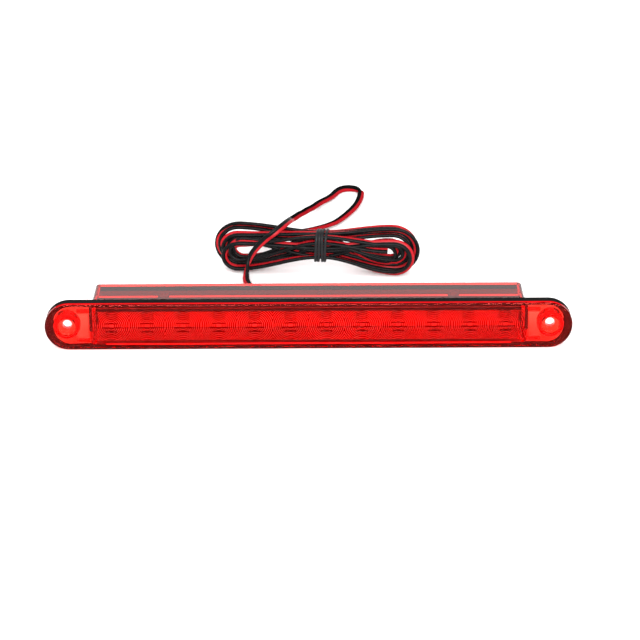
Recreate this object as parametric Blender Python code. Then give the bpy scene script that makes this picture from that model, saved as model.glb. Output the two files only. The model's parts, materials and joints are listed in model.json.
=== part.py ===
"""Slim third brake light: a red lens body with a gasket, a row of LEDs and a twin lead in a hank.

Metres, +Z up. The lens faces -Y, the length runs along X, and z = 0 is the flange's lower edge.
"""

import math

import bmesh
import bpy
from mathutils import Matrix, Vector
from mathutils.geometry import interpolate_bezier

# Driving dimensions, in metres
LENGTH = 0.237
HEIGHT = 0.022
DEPTH = 0.031
FIT_GAP = 0.0003  # between neighbouring pieces
OVERLAP = 0.0005  # of solids that are joined into one
CUT_PAST = 0.001  # how far a cutter runs past what it cuts

FLANGE_THICK = 0.0026
BOX_LENGTH = 0.1945  # at the back
BOX_DRAFT = 0.0008  # by which each end is further out at the flange
BOX_HEIGHT = 0.0174
BOX_CORNER = 0.0018
WALL = 0.0018
EDGE_ROUND = 0.0008

GASKET_THICK = 0.0039
GASKET_INSET = 0.0002
GASKET_OPENING_HEIGHT = 0.0187
GASKET_OPENING_DROP = 0.00035  # of the opening's middle below the flange's middle
GASKET_OPENING_CORNER = 0.0073
GASKET_END_WIDTH = 0.0038

HOLE_SPACING = 0.217
SCREW_HOLE_R = 0.00205
COUNTERBORE_R = 0.0041
COUNTERBORE_DEPTH = 0.0042
BOSS_R = 0.0060
BOSS_DEPTH = 0.0066  # from the flange's front face
RIB_OFFSET = 0.0069  # above and below the middle
RIB_THICK = 0.0011
RIB_FAR = 0.1040
RIB_DEPTH = 0.0040  # from the flange's front face

COVER_RECESS = 0.0013
COVER_THICK = 0.0018
SKIRT_DEPTH = 0.0057
SKIRT_WALL = 0.0012

BOARD_FRONT = 0.0171  # behind the flange's front face
BOARD_THICK = 0.0016
BOARD_SIDE_GAP = 0.0004
LED_COUNT = 12
LED_PITCH = 0.0161
LED_BODY = 0.0050
LED_BASE = 0.0016
LED_DOME_R = 0.0024

RESISTOR_COUNT = 4
RESISTOR_PITCH = 3 * LED_PITCH
RESISTOR_SHIFT = -0.0130
RESISTOR_RISE = 0.0035  # above the board's middle
RESISTOR_R = 0.0010
RESISTOR_LENGTH = 0.0060
DIODE_X = 0.0450
DIODE_R = 0.0013
DIODE_LENGTH = 0.0050

SUPPORT_PLACES = {"left": -0.0656, "right": 0.0656}
SUPPORT_LENGTH = 0.0036
SUPPORT_HALF_HEIGHT = 0.0064
SUPPORT_FINGER = 0.0015  # height of the finger that reaches through the board's notch
SUPPORT_REACH = 0.0008  # of the finger past the board's front
NOTCH_FLARE = 0.0007  # by which each side of a notch slants out towards the board's edge

CORD_WIDTH = 0.0034
CORE_R = 0.00085
INNER_SPREAD = 0.0068  # of each stripped core from the lead's middle, at the board
CORD_POINTS = 76
CORD_OVER_FLOOR = 0.0001
GROMMET_R = 0.0036
GROMMET_FLANGE_R = 0.0048
GROMMET_FLANGE = 0.0012
GROMMET_NOSE = 0.0062
GROMMET_TIP_R = 0.0024

HANK_CENTRE = Vector((0.0038, 0.0802, 0.0122))
HANK_LENGTH = 0.0984
HANK_LOBE = 0.0122  # radius of each round end
HANK_WAIST = 0.0068  # half the height where the tie pulls it in
HANK_WAIST_RISE = 0.0016  # of the waist's middle above the ends' middle
HANK_THICK = 0.0098
HANK_ROUND = 0.0030
HANK_YAW = math.radians(-4.9)
TIE_OFFSET = 0.0024  # along the hank, from its middle
TIE_WIDTH = 0.0060
TIE_THICK = 0.0010
TIE_CORNER = 0.0034

# Worked out from the dimensions above
MIDDLE = HEIGHT / 2
FRONT = -DEPTH / 2
FLANGE_BACK = FRONT + FLANGE_THICK
BACK = DEPTH / 2
COVER_BACK = BACK - COVER_RECESS
COVER_FRONT = COVER_BACK - COVER_THICK
BOARD_Y = FRONT + BOARD_FRONT
BOARD_BACK = BOARD_Y + BOARD_THICK
BORE_HALF_X = BOX_LENGTH / 2 - WALL
BORE_HALF_Z = BOX_HEIGHT / 2 - WALL
CORD_EXIT = Vector((0.0080, COVER_BACK + GROMMET_NOSE, MIDDLE))
ON_FLOOR = CORD_WIDTH / 2 + CORD_OVER_FLOOR

# The lead's route, chosen by hand: out of the cover and down to the surface, up the hank's front
# and over it, down to a loop on the surface behind it, and back into the hank
CORD_ROUTE = [
    (0.0080, CORD_EXIT.y + FIT_GAP, MIDDLE),
    (0.0080, 0.0245, 0.0109),
    (0.0078, 0.0292, 0.0101),
    (0.0066, 0.0340, 0.0078),
    (0.0034, 0.0385, 0.0048),
    (-0.0024, 0.0422, 0.0026),
    (-0.0100, 0.0455, ON_FLOOR),
    (-0.0185, 0.0492, ON_FLOOR),
    (-0.0256, 0.0545, ON_FLOOR),
    (-0.0290, 0.0620, ON_FLOOR),
    (-0.0298, 0.0692, 0.0022),
    (-0.0292, 0.0740, 0.0056),
    (-0.0276, 0.0753, 0.0102),
    (-0.0248, 0.0751, 0.0144),
    (-0.0209, 0.0749, 0.0186),
    (-0.0165, 0.0750, 0.0220),
    (-0.0131, 0.0772, 0.0241),
    (-0.0106, 0.0812, 0.0248),
    (-0.0087, 0.0868, 0.0242),
    (-0.0074, 0.0983, 0.0208),
    (-0.0061, 0.1104, 0.0173),
    (-0.0046, 0.1226, 0.0139),
    (-0.0027, 0.1347, 0.0105),
    (-0.0006, 0.1469, 0.0074),
    (0.0020, 0.1590, 0.0044),
    (0.0055, 0.1712, 0.0024),
    (0.0108, 0.1809, ON_FLOOR),
    (0.0147, 0.1902, ON_FLOOR),
    (0.0181, 0.1936, ON_FLOOR),
    (0.0227, 0.1935, ON_FLOOR),
    (0.0259, 0.1901, ON_FLOOR),
    (0.0262, 0.1858, ON_FLOOR),
    (0.0250, 0.1750, ON_FLOOR),
    (0.0214, 0.1620, ON_FLOOR),
    (0.0144, 0.1464, ON_FLOOR),
    (0.0086, 0.1395, ON_FLOOR),
    (0.0018, 0.1346, ON_FLOOR),
    (-0.0070, 0.1296, ON_FLOOR),
    (-0.0148, 0.1226, 0.0022),
    (-0.0208, 0.1141, 0.0042),
    (-0.0250, 0.1056, 0.0074),
    (-0.0277, 0.0972, 0.0106),
    (-0.0296, 0.0901, 0.0123),
]


def clear_scene():
    for obj in list(bpy.data.objects):
        bpy.data.objects.remove(obj, do_unlink=True)


def material(name, colour, roughness, metallic=0.0, transmission=0.0):
    mat = bpy.data.materials.new(name)
    mat.use_nodes = True
    shader = mat.node_tree.nodes["Principled BSDF"]
    shader.inputs["Base Color"].default_value = (*colour, 1.0)
    shader.inputs["Roughness"].default_value = roughness
    shader.inputs["Metallic"].default_value = metallic
    shader.inputs["Transmission Weight"].default_value = transmission
    return mat


def add_object(name, mesh, mat):
    obj = bpy.data.objects.new(name, mesh)
    bpy.context.collection.objects.link(obj)
    if mat:
        mesh.materials.append(mat)
    return obj


def round_rect(half_x, half_z, corner, steps, middle=MIDDLE):
    """Points of a rounded rectangle in XZ about (0, middle), in order."""
    points = []
    centres = [(1, 1, 0), (-1, 1, 90), (-1, -1, 180), (1, -1, 270)]
    for side_x, side_z, start in centres:
        centre_x = side_x * (half_x - corner)
        centre_z = middle + side_z * (half_z - corner)
        for step in range(steps + 1):
            angle = math.radians(start + 90 * step / steps)
            points.append((centre_x + corner * math.cos(angle), centre_z + corner * math.sin(angle)))
    return merged(points)


def rectangle(low_x, high_x, low_z, high_z):
    return [(low_x, low_z), (high_x, low_z), (high_x, high_z), (low_x, high_z)]


def circle(centre_x, centre_z, radius, steps):
    turn = [2 * math.pi * step / steps for step in range(steps)]
    return [(centre_x + radius * math.cos(a), centre_z + radius * math.sin(a)) for a in turn]


def merged(points):
    """The points without any that repeats the one before it."""
    kept = []
    for point in points:
        if not kept or math.dist(point, kept[-1]) > 1e-6:
            kept.append(point)
    if math.dist(kept[0], kept[-1]) < 1e-6:
        kept.pop()
    return kept


def prism(outline, front, back):
    """A mesh with the XZ outline, from y = front to y = back."""
    bm = bmesh.new()
    face = bm.faces.new([bm.verts.new((x, front, z)) for x, z in outline])
    moved = bmesh.ops.extrude_face_region(bm, geom=[face])["geom"]
    verts = [item for item in moved if isinstance(item, bmesh.types.BMVert)]
    bmesh.ops.translate(bm, verts=verts, vec=(0, back - front, 0))
    return finish_mesh(bm)


def tapered_prism(near_outline, far_outline, front, back):
    """A prism between two outlines with as many points each."""
    bm = bmesh.new()
    near = [bm.verts.new((x, front, z)) for x, z in near_outline]
    far = [bm.verts.new((x, back, z)) for x, z in far_outline]
    bm.faces.new(near)
    bm.faces.new(far)
    for i in range(len(near)):
        j = (i + 1) % len(near)
        bm.faces.new((near[i], near[j], far[j], far[i]))
    return finish_mesh(bm)


def finish_mesh(bm):
    bmesh.ops.recalc_face_normals(bm, faces=bm.faces)
    mesh = bpy.data.meshes.new("mesh")
    bm.to_mesh(mesh)
    bm.free()
    return mesh


def cutter(mesh):
    obj = add_object("cutter", mesh, None)
    obj.hide_render = True
    obj.display_type = "WIRE"
    return obj


def boolean(obj, other, operation):
    mod = obj.modifiers.new(operation.lower(), "BOOLEAN")
    mod.operation = operation
    mod.object = other
    mod.solver = "EXACT"


def bevel(obj, width, segments=2):
    mod = obj.modifiers.new("bevel", "BEVEL")
    mod.width = width
    mod.segments = segments
    mod.limit_method = "ANGLE"
    mod.angle_limit = math.radians(50)


def smooth(obj, angle=40):
    obj.data.shade_smooth()
    obj.data.set_sharp_from_angle(angle=math.radians(angle))


def cylinder_y(radius, length, steps):
    """A cylinder along Y, from y = 0 to y = length, about the origin."""
    bm = bmesh.new()
    turn = Matrix.Rotation(math.radians(-90), 4, "X")
    shift = Matrix.Translation((0, length / 2, 0))
    bmesh.ops.create_cone(
        bm,
        cap_ends=True,
        segments=steps,
        radius1=radius,
        radius2=radius,
        depth=length,
        matrix=shift @ turn,
    )
    return finish_mesh(bm)


def make_lens_body(mat):
    """Flange, box walls, bosses and ribs in one moulding, with the box open at the back."""
    outline = round_rect(LENGTH / 2, HEIGHT / 2, HEIGHT / 2, 16)
    lens = add_object("lens_body", prism(outline, FRONT, FLANGE_BACK), mat)
    bevel(lens, EDGE_ROUND)
    inside = FLANGE_BACK - OVERLAP
    near = round_rect(BOX_LENGTH / 2 + BOX_DRAFT, BOX_HEIGHT / 2, BOX_CORNER, 5)
    far = round_rect(BOX_LENGTH / 2, BOX_HEIGHT / 2, BOX_CORNER, 5)
    boolean(lens, cutter(tapered_prism(near, far, inside, BACK)), "UNION")
    for side in (-1, 1):
        hole_x = side * HOLE_SPACING / 2
        boss = prism(circle(hole_x, MIDDLE, BOSS_R, 32), inside, FRONT + BOSS_DEPTH)
        boolean(lens, cutter(boss), "UNION")
        for level in (-1, 1):
            boolean(lens, cutter(rib_mesh(side, level, inside)), "UNION")
    bore = round_rect(BORE_HALF_X, BORE_HALF_Z, BOX_CORNER / 2, 4)
    boolean(lens, cutter(prism(bore, FLANGE_BACK, BACK + CUT_PAST)), "DIFFERENCE")
    for side in (-1, 1):
        hole_x = side * HOLE_SPACING / 2
        well = prism(circle(hole_x, MIDDLE, COUNTERBORE_R, 32), FRONT - CUT_PAST, FRONT + COUNTERBORE_DEPTH)
        boolean(lens, cutter(well), "DIFFERENCE")
        hole = prism(circle(hole_x, MIDDLE, SCREW_HOLE_R, 24), FRONT, FRONT + BOSS_DEPTH + CUT_PAST)
        boolean(lens, cutter(hole), "DIFFERENCE")
    smooth(lens)
    return lens


def rib_mesh(side, level, inside):
    """A rib from the box's end wall towards the boss, above or below the middle."""
    near = side * (BOX_LENGTH - WALL) / 2
    far = side * RIB_FAR
    low = MIDDLE + level * RIB_OFFSET - RIB_THICK / 2
    outline = rectangle(min(near, far), max(near, far), low, low + RIB_THICK)
    return prism(outline, inside, FRONT + RIB_DEPTH)


def make_gasket(mat):
    """A foam ring with round ends, open round the box, the bosses and the ribs."""
    half_x = LENGTH / 2 - GASKET_INSET
    half_z = HEIGHT / 2 - GASKET_INSET
    front = FLANGE_BACK + FIT_GAP
    back = front + GASKET_THICK
    outline = round_rect(half_x, half_z, half_z, 14)
    gasket = add_object("gasket", prism(outline, front, back), mat)
    opening = round_rect(
        half_x - GASKET_END_WIDTH,
        GASKET_OPENING_HEIGHT / 2,
        GASKET_OPENING_CORNER,
        10,
        MIDDLE - GASKET_OPENING_DROP,
    )
    boolean(gasket, cutter(prism(opening, front - CUT_PAST, back + CUT_PAST)), "DIFFERENCE")
    smooth(gasket)
    return gasket


def make_rear_cover(mat):
    """A tray that closes the back of the box: a plate with a skirt forward of it."""
    half_x = BORE_HALF_X - FIT_GAP
    half_z = BORE_HALF_Z - FIT_GAP
    corner = BOX_CORNER / 2
    front = COVER_BACK - SKIRT_DEPTH
    cover = add_object("rear_cover", prism(round_rect(half_x, half_z, corner, 4), front, COVER_BACK), mat)
    hollow = round_rect(half_x - SKIRT_WALL, half_z - SKIRT_WALL, corner, 4)
    boolean(cover, cutter(prism(hollow, front - CUT_PAST, COVER_FRONT)), "DIFFERENCE")
    hole = circle(CORD_EXIT.x, MIDDLE, GROMMET_R + FIT_GAP, 24)
    boolean(cover, cutter(prism(hole, front, COVER_BACK + CUT_PAST)), "DIFFERENCE")
    smooth(cover)
    return cover


def make_circuit_board(mat):
    """A plain board, with a notch in its upper edge for each support."""
    half_x = BORE_HALF_X - BOARD_SIDE_GAP
    half_z = BORE_HALF_Z - BOARD_SIDE_GAP
    outline = round_rect(half_x, half_z, BOX_CORNER / 2, 3)
    board = add_object("circuit_board", prism(outline, BOARD_Y, BOARD_BACK), mat)
    notch_depth = SUPPORT_HALF_HEIGHT - SUPPORT_FINGER - FIT_GAP
    for place in SUPPORT_PLACES.values():
        narrow = SUPPORT_LENGTH / 2 + FIT_GAP
        wide = narrow + NOTCH_FLARE
        low_z = MIDDLE + notch_depth
        high_z = MIDDLE + BORE_HALF_Z
        notch = [
            (place - narrow, low_z),
            (place + narrow, low_z),
            (place + wide, high_z),
            (place - wide, high_z),
        ]
        tool = prism(notch, BOARD_Y - CUT_PAST, BOARD_BACK + CUT_PAST)
        boolean(board, cutter(tool), "DIFFERENCE")


def led_mesh():
    """A square base with a dome that faces -Y; the base's back is at y = 0."""
    half = LED_BODY / 2
    outline = [(-half, -half), (half, -half), (half, half), (-half, half)]
    bm = bmesh.new()
    base = [bm.verts.new((x, 0, z)) for x, z in outline]
    shoulder = [bm.verts.new((x, -LED_BASE, z)) for x, z in outline]
    bm.faces.new(base)
    for i in range(4):
        bm.faces.new((base[i], base[(i + 1) % 4], shoulder[(i + 1) % 4], shoulder[i]))
    steps = 16
    rings = []
    for level in range(4):
        angle = math.radians(90 * level / 4)
        radius = LED_DOME_R * math.cos(angle)
        rise = -LED_BASE - LED_DOME_R * math.sin(angle)
        turn = [2 * math.pi * (s + 0.5) / steps for s in range(steps)]
        rings.append([bm.verts.new((radius * math.cos(a), rise, radius * math.sin(a))) for a in turn])
    tip = bm.verts.new((0, -LED_BASE - LED_DOME_R, 0))
    for lower, upper in zip(rings, rings[1:]):
        for i in range(steps):
            j = (i + 1) % steps
            bm.faces.new((lower[i], lower[j], upper[j], upper[i]))
    for i in range(steps):
        bm.faces.new((rings[-1][i], rings[-1][(i + 1) % steps], tip))
    dome_foot = [bm.edges.get((rings[0][i], rings[0][(i + 1) % steps])) for i in range(steps)]
    square = [bm.edges.get((shoulder[i], shoulder[(i + 1) % 4])) for i in range(4)]
    bmesh.ops.bridge_loops(bm, edges=dome_foot + square)
    return finish_mesh(bm)


def make_leds(mat):
    for index in range(LED_COUNT):
        led = add_object(f"led_{index + 1:02d}", led_mesh(), mat)
        offset = index - (LED_COUNT - 1) / 2
        led.location = (offset * LED_PITCH, BOARD_Y - FIT_GAP, MIDDLE)
        smooth(led)


def axial_part(name, radius, length, place, mat):
    """A small round part with a waist, lying along X against the back of the board."""
    bm = bmesh.new()
    profile = [(0.0, 0.62), (0.08, 0.95), (0.26, 1.0), (0.32, 0.86), (0.68, 0.86), (0.74, 1.0)]
    profile += [(0.92, 0.95), (1.0, 0.62)]
    steps = 12
    rings = []
    for along, width in profile:
        ring = []
        for step in range(steps):
            angle = 2 * math.pi * step / steps
            across = radius * width * math.cos(angle)
            up = radius * width * math.sin(angle)
            ring.append(bm.verts.new(((along - 0.5) * length, across, up)))
        rings.append(ring)
    for first, second in zip(rings, rings[1:]):
        for i in range(steps):
            j = (i + 1) % steps
            bm.faces.new((first[i], first[j], second[j], second[i]))
    bm.faces.new(rings[0])
    bm.faces.new(rings[-1])
    obj = add_object(name, finish_mesh(bm), mat)
    obj.location = (place[0], BOARD_BACK + FIT_GAP + radius, place[1])
    smooth(obj)


def make_board_parts(resistor_mat, diode_mat):
    for index in range(RESISTOR_COUNT):
        offset = index - (RESISTOR_COUNT - 1) / 2
        place = (offset * RESISTOR_PITCH + RESISTOR_SHIFT, MIDDLE + RESISTOR_RISE)
        axial_part(f"resistor_{index + 1}", RESISTOR_R, RESISTOR_LENGTH, place, resistor_mat)
    axial_part("diode", DIODE_R, DIODE_LENGTH, (DIODE_X, MIDDLE), diode_mat)


def make_board_supports(mat):
    """Blocks between the board and the cover's skirt, with a finger through the board's notch."""
    skirt_front = COVER_BACK - SKIRT_DEPTH
    high_z = MIDDLE + SUPPORT_HALF_HEIGHT
    for side, place in SUPPORT_PLACES.items():
        low_x = place - SUPPORT_LENGTH / 2
        high_x = place + SUPPORT_LENGTH / 2
        outline = rectangle(low_x, high_x, MIDDLE - SUPPORT_HALF_HEIGHT, high_z)
        block = prism(outline, BOARD_BACK + FIT_GAP, skirt_front - FIT_GAP)
        support = add_object(f"board_support_{side}", block, mat)
        finger = rectangle(low_x, high_x, high_z - SUPPORT_FINGER, high_z)
        reach = prism(finger, BOARD_Y - SUPPORT_REACH, BOARD_BACK + FIT_GAP + OVERLAP)
        boolean(support, cutter(reach), "UNION")


def make_cable_grommet(mat):
    """A round bush in the cover with a tapered nose, and a flange outside the cover."""
    profile = [
        (0.0, COVER_FRONT),
        (GROMMET_R, COVER_FRONT),
        (GROMMET_R, COVER_BACK + FIT_GAP),
        (GROMMET_FLANGE_R, COVER_BACK + FIT_GAP),
        (GROMMET_FLANGE_R, COVER_BACK + FIT_GAP + GROMMET_FLANGE),
        (GROMMET_R, COVER_BACK + FIT_GAP + GROMMET_FLANGE),
        (GROMMET_TIP_R, CORD_EXIT.y),
        (0.0, CORD_EXIT.y),
    ]
    bm = bmesh.new()
    verts = [bm.verts.new((radius, y, 0)) for radius, y in profile]
    edges = [bm.edges.new(pair) for pair in zip(verts, verts[1:])]
    bmesh.ops.spin(
        bm,
        geom=verts + edges,
        cent=(0, 0, 0),
        axis=(0, 1, 0),
        angle=2 * math.pi,
        steps=24,
        use_merge=True,
    )
    bmesh.ops.remove_doubles(bm, verts=bm.verts, dist=1e-6)
    grommet = add_object("cable_grommet", finish_mesh(bm), mat)
    grommet.location = (CORD_EXIT.x, 0, MIDDLE)
    smooth(grommet)


def tube(name, points, radius, mat, resolution=2):
    curve = bpy.data.curves.new(name, "CURVE")
    curve.dimensions = "3D"
    curve.bevel_depth = radius
    curve.bevel_resolution = resolution
    curve.use_fill_caps = True
    spline = curve.splines.new("POLY")
    spline.points.add(len(points) - 1)
    for spot, place in zip(spline.points, points):
        spot.co = (*place, 1.0)
    curve.materials.append(mat)
    obj = bpy.data.objects.new(name, curve)
    bpy.context.collection.objects.link(obj)
    return obj


def smooth_route(route, count):
    """Points evenly spaced along a smooth curve through the route's own points."""
    knots = [Vector(place) for place in route]
    fine = []
    for i in range(len(knots) - 1):
        before = knots[max(i - 1, 0)]
        after = knots[min(i + 2, len(knots) - 1)]
        start, end = knots[i], knots[i + 1]
        first = start + (end - before) / 6
        second = end - (after - start) / 6
        fine += interpolate_bezier(start, first, second, end, 24)[:-1]
    fine.append(knots[-1])
    lengths = [0.0]
    for a, b in zip(fine, fine[1:]):
        lengths.append(lengths[-1] + (b - a).length)
    spaced = []
    index = 0
    for step in range(count):
        target = lengths[-1] * step / (count - 1)
        while index < len(lengths) - 2 and lengths[index + 1] < target:
            index += 1
        share = (target - lengths[index]) / (lengths[index + 1] - lengths[index])
        spaced.append(fine[index].lerp(fine[index + 1], share))
    return spaced


def make_inner_leads(red_mat, black_mat):
    """The stripped cores, spreading from the grommet to the back of the board."""
    start = COVER_FRONT - FIT_GAP
    end = BOARD_BACK + FIT_GAP
    for name, side, mat in (("lead_red", -1, red_mat), ("lead_black", 1, black_mat)):
        route = []
        for share, spread in ((0.0, 0.18), (0.2, 0.26), (0.5, 0.58), (0.8, 0.92), (1.0, 1.0)):
            x = CORD_EXIT.x + side * spread * INNER_SPREAD
            route.append((x, start + (end - start) * share, MIDDLE))
        tube(name, smooth_route(route, 10), CORE_R, mat)


def make_cord(mat):
    """The twin lead where it isn't folded, as a plain round tube of its width."""
    tube("cord", smooth_route(CORD_ROUTE, CORD_POINTS), CORD_WIDTH / 2, mat)


def hank_outline():
    """The hank's outline in its own XZ plane: round ends, and a waist at the tie."""
    reach = HANK_LENGTH / 2 - HANK_LOBE
    tie_half = TIE_WIDTH / 2 + CUT_PAST
    upper = []
    for step in range(9):
        angle = math.radians(180 - 90 * step / 8)
        upper.append((-reach + HANK_LOBE * math.cos(angle), HANK_LOBE * math.sin(angle)))
    for share in (0.2, 0.4, 0.6, 0.8, 1.0):
        x = -reach * (1 - share) + (TIE_OFFSET - tie_half) * share
        upper.append((x, waist_height(share)))
    for share in (1.0, 0.8, 0.6, 0.4, 0.2):
        x = reach * (1 - share) + (TIE_OFFSET + tie_half) * share
        upper.append((x, waist_height(share)))
    for step in range(9):
        angle = math.radians(90 - 90 * step / 8)
        upper.append((reach + HANK_LOBE * math.cos(angle), HANK_LOBE * math.sin(angle)))
    lower = [(x, -z) for x, z in reversed(upper[1:-1])]
    return [(x, z + waist_rise(x)) for x, z in upper + lower]


def waist_height(share):
    ease = 0.5 - 0.5 * math.cos(math.pi * share)
    return HANK_LOBE + (HANK_WAIST - HANK_LOBE) * ease


def waist_rise(x):
    """How far the hank's middle line lies above that of its ends."""
    reach = HANK_LENGTH / 2 - HANK_LOBE
    share = min(abs(x - TIE_OFFSET) / reach, 1.0)
    return HANK_WAIST_RISE * (0.5 + 0.5 * math.cos(math.pi * share))


def place_on_hank(obj):
    obj.location = HANK_CENTRE
    obj.rotation_euler = (0, 0, HANK_YAW)


def make_cord_hank(mat):
    """The folded lead as one solid of its outer shape."""
    hank = add_object("cord_hank", prism(hank_outline(), -HANK_THICK / 2, HANK_THICK / 2), mat)
    bevel(hank, HANK_ROUND, 3)
    place_on_hank(hank)
    smooth(hank)


def make_twist_tie(mat):
    """A band round the hank's waist."""
    inner_y = HANK_THICK / 2 + FIT_GAP
    inner_z = HANK_WAIST + FIT_GAP
    bands = []
    for grow in (0.0, TIE_THICK):
        ring = round_rect(inner_y + grow, inner_z + grow, TIE_CORNER + grow, 6)
        bands.append([(y, z - MIDDLE) for y, z in ring])
    bm = bmesh.new()
    loops = []
    for x in (TIE_OFFSET - TIE_WIDTH / 2, TIE_OFFSET + TIE_WIDTH / 2):
        for band in bands:
            loops.append([bm.verts.new((x, y, z + HANK_WAIST_RISE)) for y, z in band])
    count = len(loops[0])
    for first, second in ((0, 1), (1, 3), (3, 2), (2, 0)):
        for i in range(count):
            j = (i + 1) % count
            quad = (loops[first][i], loops[first][j], loops[second][j], loops[second][i])
            bm.faces.new(quad)
    tie = add_object("twist_tie", finish_mesh(bm), mat)
    place_on_hank(tie)
    smooth(tie)


def main():
    clear_scene()
    red_plastic = material("red_lens", (0.70, 0.012, 0.010), 0.06, 0.0, 0.7)
    black_plastic = material("black_plastic", (0.018, 0.018, 0.019), 0.45)
    foam = material("gasket_foam", (0.012, 0.012, 0.012), 0.85)
    board_white = material("board_white", (0.82, 0.82, 0.80), 0.4)
    led_clear = material("led_clear", (0.85, 0.83, 0.78), 0.15)
    resistor = material("resistor_body", (0.35, 0.52, 0.60), 0.4)
    diode = material("diode_body", (0.02, 0.02, 0.02), 0.35)
    rubber = material("grommet_rubber", (0.02, 0.02, 0.02), 0.7)
    lead_red = material("lead_red_pvc", (0.55, 0.012, 0.016), 0.35)
    lead_black = material("lead_black_pvc", (0.012, 0.012, 0.013), 0.35)
    tie = material("tie_black", (0.035, 0.035, 0.036), 0.5)
    make_lens_body(red_plastic)
    make_gasket(foam)
    make_rear_cover(black_plastic)
    make_circuit_board(board_white)
    make_leds(led_clear)
    make_board_parts(resistor, diode)
    make_board_supports(black_plastic)
    make_cable_grommet(rubber)
    make_inner_leads(lead_red, lead_black)
    make_cord(lead_black)
    make_cord_hank(lead_black)
    make_twist_tie(tie)


main()
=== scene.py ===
"""Looks for the slim third brake light, built round its CAD frame. Metres, +Z up."""

import json
import math

import bmesh
import bpy
import numpy as np
from mathutils import Matrix, Vector
from mathutils.geometry import interpolate_bezier


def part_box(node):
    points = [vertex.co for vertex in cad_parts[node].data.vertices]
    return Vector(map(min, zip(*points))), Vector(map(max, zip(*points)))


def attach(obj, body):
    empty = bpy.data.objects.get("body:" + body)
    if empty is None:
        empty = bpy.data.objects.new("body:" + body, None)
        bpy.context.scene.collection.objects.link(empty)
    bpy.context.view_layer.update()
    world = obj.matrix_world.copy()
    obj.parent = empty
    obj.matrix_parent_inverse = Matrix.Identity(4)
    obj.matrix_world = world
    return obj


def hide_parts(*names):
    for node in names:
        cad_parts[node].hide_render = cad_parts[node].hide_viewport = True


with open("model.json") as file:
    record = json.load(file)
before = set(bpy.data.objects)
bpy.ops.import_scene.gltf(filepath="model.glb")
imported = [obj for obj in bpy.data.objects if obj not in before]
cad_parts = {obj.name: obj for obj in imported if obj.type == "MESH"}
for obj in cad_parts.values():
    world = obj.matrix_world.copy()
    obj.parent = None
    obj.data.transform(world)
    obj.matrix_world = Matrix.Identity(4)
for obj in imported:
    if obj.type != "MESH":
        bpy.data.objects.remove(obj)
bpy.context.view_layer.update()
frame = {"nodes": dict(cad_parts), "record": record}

# ---------------------------------------------------------------- sizes, in metres
MM = 0.001
LENS_LOW, LENS_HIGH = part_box("lens_body")
COVER_LOW, COVER_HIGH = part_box("rear_cover")
BOARD_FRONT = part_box("circuit_board")[0].y
LENGTH = LENS_HIGH.x - LENS_LOW.x
HEIGHT = LENS_HIGH.z - LENS_LOW.z
MIDDLE = (LENS_HIGH.z + LENS_LOW.z) / 2
FRONT = LENS_LOW.y
BACK = LENS_HIGH.y

# The lens body, as in the CAD
FLANGE_THICK = 2.6 * MM
EDGE_ROUND = 0.9 * MM
OVERLAP = 0.5 * MM  # by which the box, bosses and ribs start inside the flange
BORE_SINK = 0.02 * MM  # by which the box's bore goes into the flange's back
BOX_LENGTH = 194.5 * MM  # at the back
BOX_DRAFT = 0.8 * MM  # by which each end is further out at the flange
BOX_HEIGHT = 17.4 * MM
BOARD_CLEARANCE = 0.2 * MM
BOX_CORNER = 1.8 * MM
WALL = 1.8 * MM
HOLE_SPACING = 217.0 * MM
SCREW_HOLE_R = 2.05 * MM
COUNTERBORE_R = 4.1 * MM
COUNTERBORE_DEPTH = 4.2 * MM
BOSS_R = 6.0 * MM
BOSS_DEPTH = 6.6 * MM
RIB_OFFSET = 6.9 * MM
RIB_THICK = 1.1 * MM
RIB_FAR = 104.0 * MM
RIB_DEPTH = 4.0 * MM
PAD_THICK = 1.95 * MM
PAD_NEAR = 98.8 * MM
PAD_INTO_BOSS = 1.3 * MM
PAD_HALF_HEIGHT = 6.1 * MM

# The rings inside the window
LED_COUNT = 12
LED_PITCH = 16.1 * MM
RING_PITCH = 0.85 * MM
RING_GROOVE = 0.40 * MM  # width of the groove at each ring's edge
RING_DEPTH = 0.16 * MM
RING_FIRST = 1.3 * MM
RING_REACH = 10.9 * MM
RING_STEPS = 80
RING_PLANE_SINK = 0.05 * MM  # how far the window's rear plane lies inside the flange's back
RING_TOOL_BACK = 1.5 * MM
CELL_GAP = 0.02 * MM
CELL_LOW = 4.2 * MM
CELL_HIGH = 17.75 * MM
# Dark bars of painted LED shadow in the middle of each set: height over the middle, length, thickness
LED_SHADOW_BARS = ((1.1, 5.6, 0.42), (-0.9, 8.4, 0.50), (-2.8, 5.0, 0.55))
BAR_DEPTH = 0.30 * MM
# Painted shade: the dull dark bands on the box's inner walls, beside the window
SHADE_SINK = 0.03 * MM
SHADE_LOW = 7.6 * MM
SHADE_DEPTH = 15.8 * MM
SHADE_END = 97.0 * MM
SHADE_END_FAR = 98.4 * MM
SHADE_END_LOW = 8.6 * MM
SHADE_END_HIGH = 20.0 * MM
# The pale strip on the flange's back, under the box: a painted line of light
STRIP_HALF_LENGTH = 91.0 * MM
STRIP_LOW = 2.0 * MM
STRIP_HIGH = 2.65 * MM
STRIP_INTO_BOX = 0.05 * MM
INNER_LINE = (7.0 * MM, 7.5 * MM)  # a pale line of painted light on the upper wall's painted shade, from the front face
INNER_LINE_HEIGHT = 0.5 * MM
SHADE_END_SINK = 0.7 * MM  # how far the end recesses go into the flange
SHADE_END_OUT = 0.3 * MM

# The lead
CORD_WIDTH = 3.4 * MM
CORE_R = CORD_WIDTH / 4
ON_FLOOR = CORD_WIDTH / 2 + 0.1 * MM
CORD_STEP = 1.5 * MM
GLOSS = 0.075  # specular level of the lead's plastic
GLOSS_FADE = (83.0 * MM, 90.0 * MM)
HANK_CENTRE = Vector((3.8, 80.2, 12.2)) * MM
HANK_YAW = math.radians(-4.9)
TIE_OFFSET = 2.4 * MM

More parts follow.
